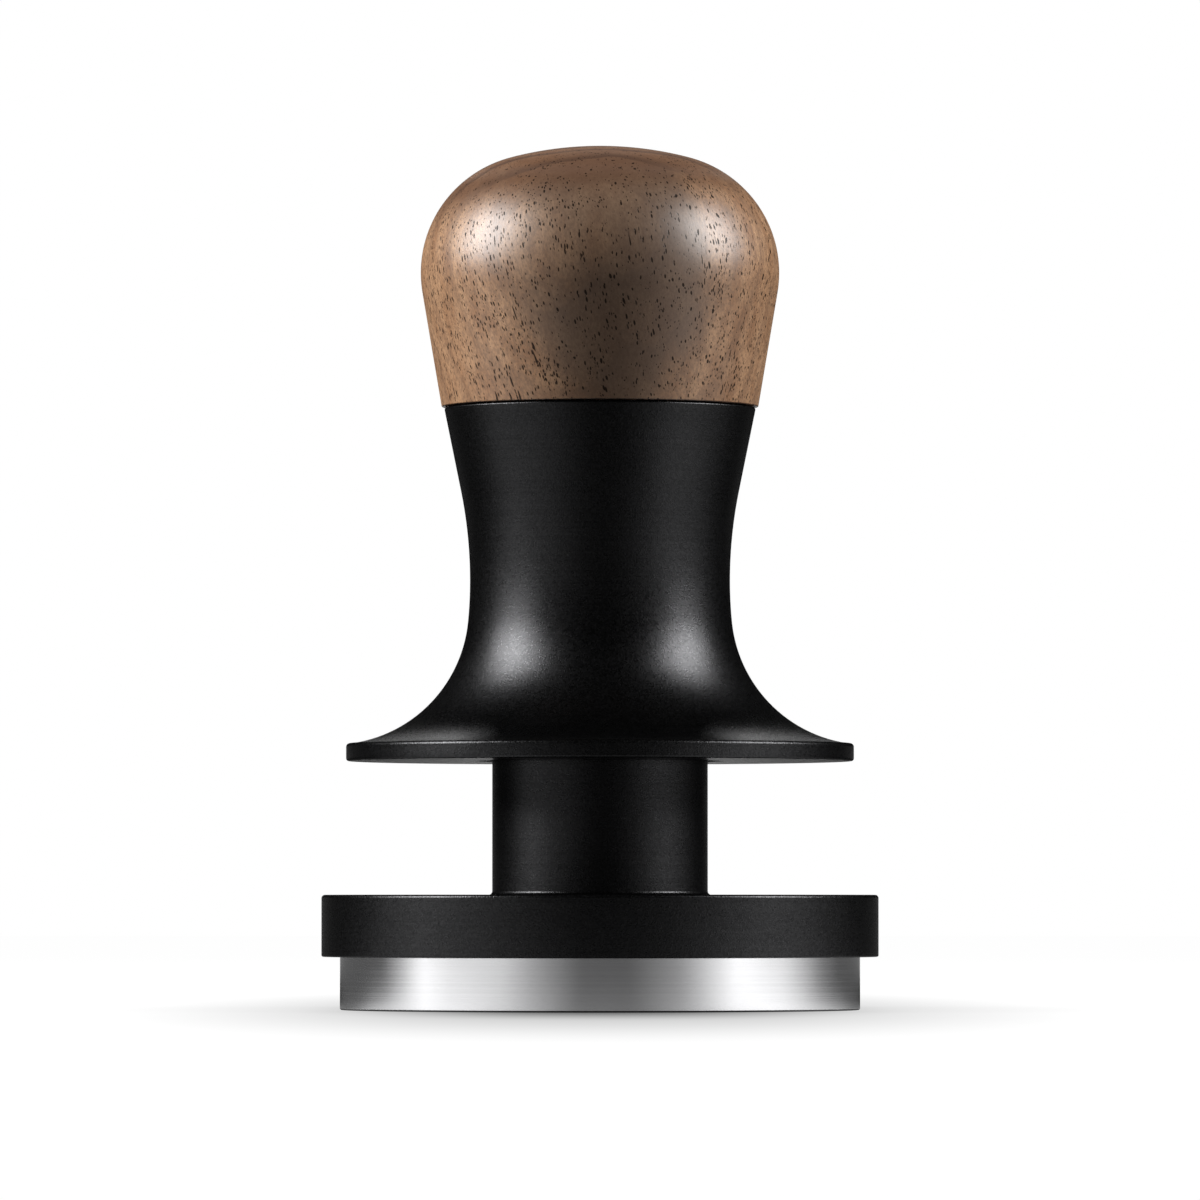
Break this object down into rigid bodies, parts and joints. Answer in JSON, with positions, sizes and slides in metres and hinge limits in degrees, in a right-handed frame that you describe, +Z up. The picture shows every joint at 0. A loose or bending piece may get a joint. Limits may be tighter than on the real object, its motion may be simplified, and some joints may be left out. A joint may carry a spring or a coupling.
{
  "type": "espresso tamper",
  "caption": "Self-levelling espresso tamper for 58 mm filter baskets: steel base, sliding levelling ring and a spring-loaded waisted handle with a walnut knob.",
  "frame": {"origin": "centre of the tamping face, the flat underside of the base", "axes": "+Z up along the tamper's axis, from the base to the knob; X and Y are free because every large piece is turned"},
  "size_m": [0.0624, 0.0624, 0.097],
  "materials": {
    "stainless_steel": "fine turned, satin",
    "black_anodised": "bead blasted, black anodised",
    "walnut": "open pore, satin oil",
    "spring_steel": "drawn wire",
    "acetal": "machined, matte",
    "black_rubber": "moulded, matte",
    "plain_aluminium": "turned, clear anodised",
    "black_steel": "black oxide"
  },
  "bodies": {
    "base": {"tamper_base": "stainless_steel", "center_post": "stainless_steel", "post_lock_washer": "spring_steel", "levelling_spring": "spring_steel", "main_spring": "spring_steel", "bumper_ring": "black_rubber", "retaining_washer": "stainless_steel", "retaining_screw": "black_steel"},
    "ring_slider": {"levelling_thrust_washer": "stainless_steel"},
    "levelling_ring": {"levelling_ring": "black_anodised", "levelling_bush": "acetal"},
    "handle_slider": {"upper_spring_seat": "stainless_steel"},
    "handle": {"handle_shell": "black_anodised", "handle_guide_bush": "acetal", "guide_bush_clip": "spring_steel", "stem_bush": "acetal", "knob_insert": "plain_aluminium", "knob_screw_1": "black_steel", "knob_screw_2": "black_steel", "knob_screw_3": "black_steel", "knob": "walnut"}
  },
  "joints": [
    {"name": "ring_slide", "type": "slide", "parent": "base", "child": "ring_slider", "axis": [0, 0, 1], "range_m": [0, 0.007], "stiffness_N_per_m": 174, "springref_m": -0.0115, "deforming": ["levelling_spring"]},
    {"name": "ring_spin", "type": "hinge", "parent": "ring_slider", "child": "levelling_ring", "pos_m": [0, 0, 0.0105], "axis": [0, 0, 1], "continuous": true},
    {"name": "handle_slide", "type": "slide", "parent": "base", "child": "handle_slider", "axis": [0, 0, 1], "range_m": [-0.0075, 0], "stiffness_N_per_m": 7830, "springref_m": 0.0095, "deforming": ["main_spring"]},
    {"name": "handle_spin", "type": "hinge", "parent": "handle_slider", "child": "handle", "pos_m": [0, 0, 0.06], "axis": [0, 0, 1], "continuous": true}
  ]
}
